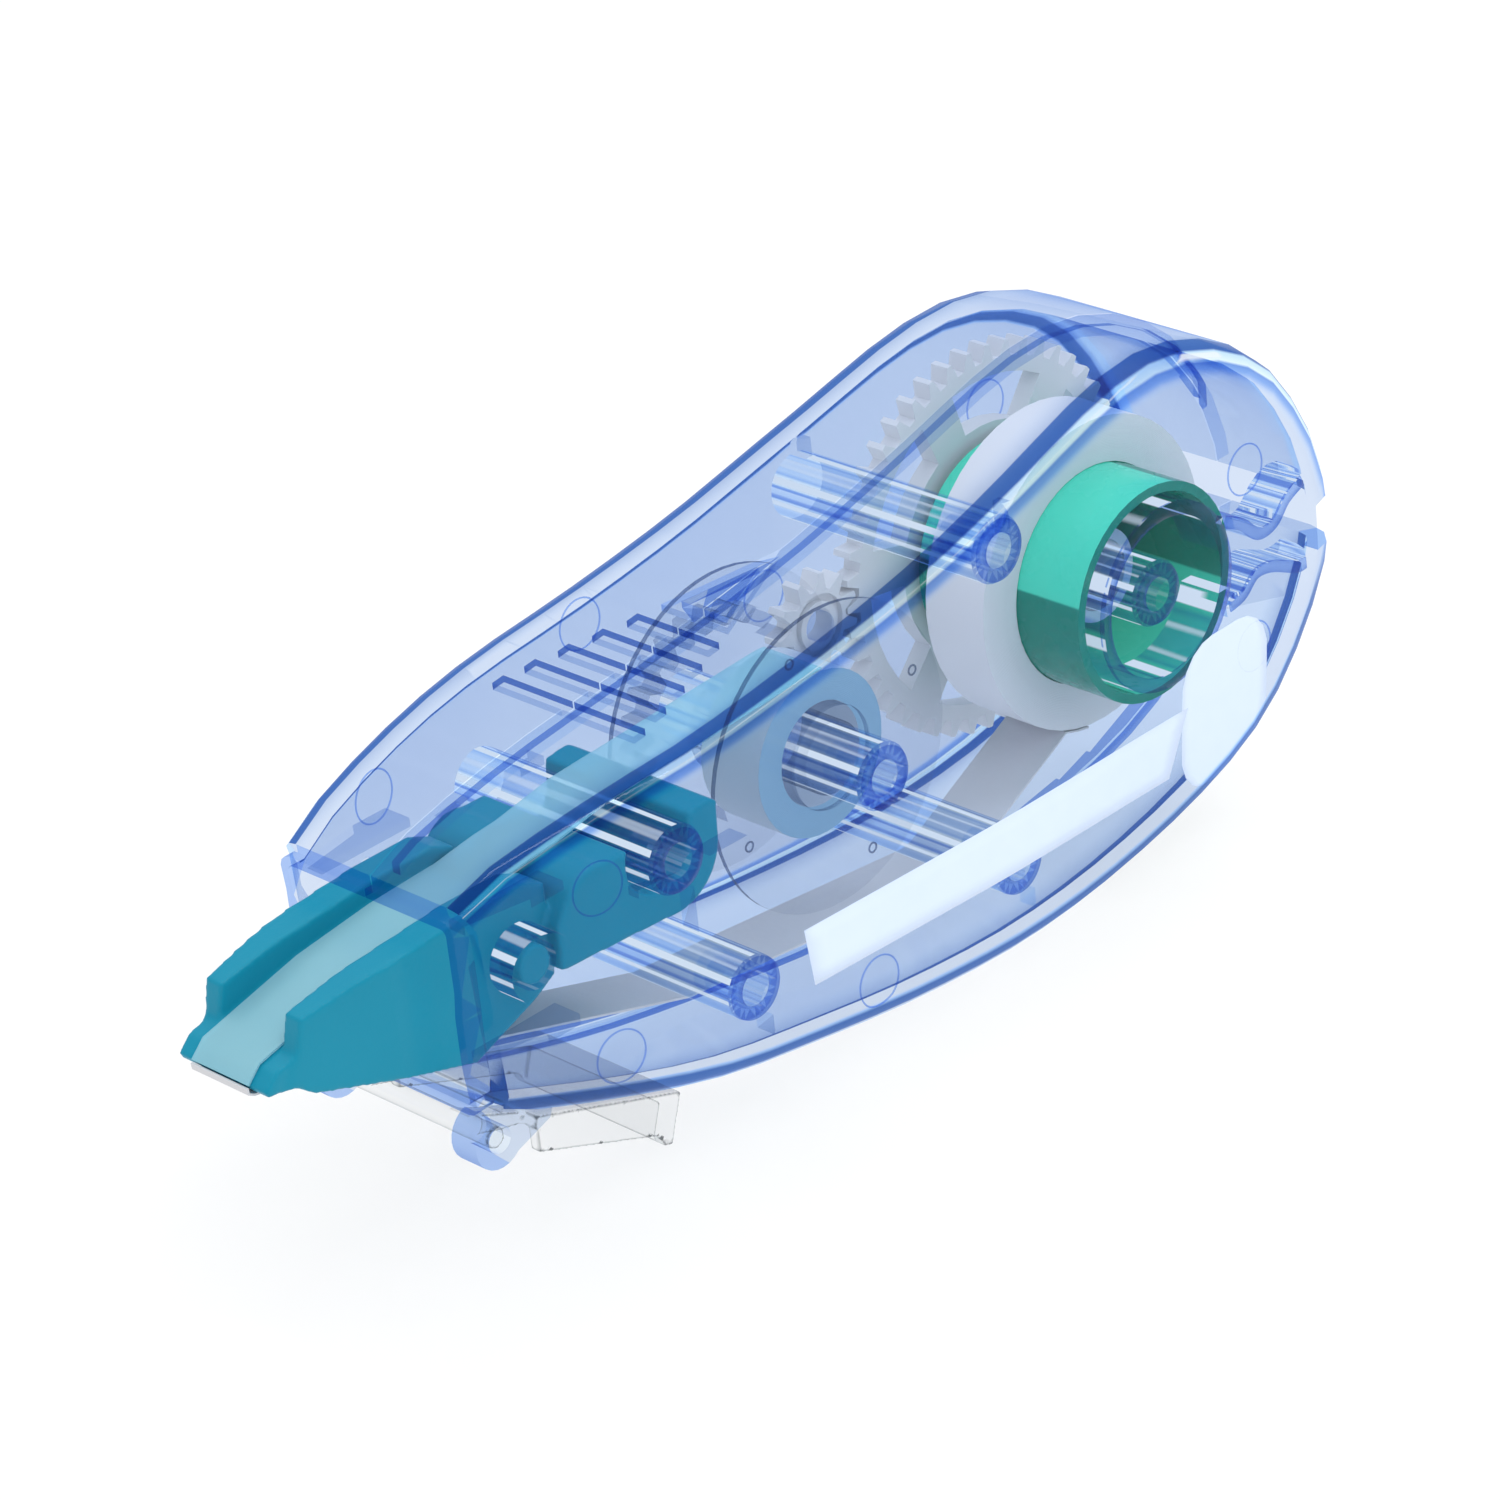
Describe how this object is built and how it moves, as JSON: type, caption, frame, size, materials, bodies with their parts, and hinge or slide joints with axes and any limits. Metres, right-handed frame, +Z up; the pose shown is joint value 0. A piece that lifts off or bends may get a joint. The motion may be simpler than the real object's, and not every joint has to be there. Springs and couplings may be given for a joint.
{
  "type": "correction tape roller",
  "caption": "Hand-held correction tape roller with a see-through casing, geared tape reels, a ribbed applicator head and a flip cap.",
  "frame": {"origin": "centre of the overall box, on the mid-plane of the casing", "axes": "+X towards the round rear end, -X towards the applicator tip, +Y towards the gear side, +Z up"},
  "size_m": [0.0762, 0.0184, 0.0302],
  "materials": {
    "casing_plastic": "polished, transparent blue tint",
    "core_plastic": "satin green",
    "coated_tape": "matt correction coating on paper tape",
    "ring_rubber": "matt",
    "gear_plastic": "satin off-white",
    "clear_plastic": "clear",
    "backing_film": "translucent blue release film",
    "head_plastic": "satin teal"
  },
  "bodies": {
    "casing": {"left_shell": "casing_plastic", "right_shell": "casing_plastic", "applicator_head": "head_plastic", "feed_tape": "coated_tape", "return_tape": "backing_film"},
    "supply_reel": {"supply_core": "core_plastic", "tape_roll": "coated_tape", "friction_ring": "ring_rubber"},
    "drive_gear": {"drive_gear": "gear_plastic"},
    "idler_gear": {"idler_gear": "gear_plastic"},
    "takeup_reel": {"takeup_reel": "clear_plastic", "takeup_flange": "clear_plastic", "used_tape_wrap": "backing_film"},
    "flip_cap": {"flip_cap": "clear_plastic"}
  },
  "joints": [
    {"name": "supply_reel_spin", "type": "hinge", "parent": "casing", "child": "supply_reel", "pos_m": [0.02388, 0, 0.00078], "axis": [0, 1, 0], "continuous": true},
    {"name": "drive_gear_spin", "type": "hinge", "parent": "casing", "child": "drive_gear", "pos_m": [0.02388, 0.0062, 0.00078], "axis": [0, 1, 0], "continuous": true},
    {"name": "idler_gear_spin", "type": "hinge", "parent": "casing", "child": "idler_gear", "pos_m": [0.01021, 0.0062, 0.00116], "axis": [0, 1, 0], "continuous": true},
    {"name": "takeup_reel_spin", "type": "hinge", "parent": "casing", "child": "takeup_reel", "pos_m": [0.00201, 0, -0.00068], "axis": [0, 1, 0], "continuous": true},
    {"name": "cap_hinge", "type": "hinge", "parent": "casing", "child": "flip_cap", "pos_m": [-0.02672, 0, -0.00812], "axis": [0, 1, 0], "range_deg": [0, 180]}
  ],
  "couplings": [
    {"joint": "drive_gear_spin", "follows": "supply_reel_spin", "ratio": 1},
    {"joint": "idler_gear_spin", "follows": "supply_reel_spin", "ratio": -4.1818},
    {"joint": "takeup_reel_spin", "follows": "supply_reel_spin", "ratio": 1.9167}
  ]
}
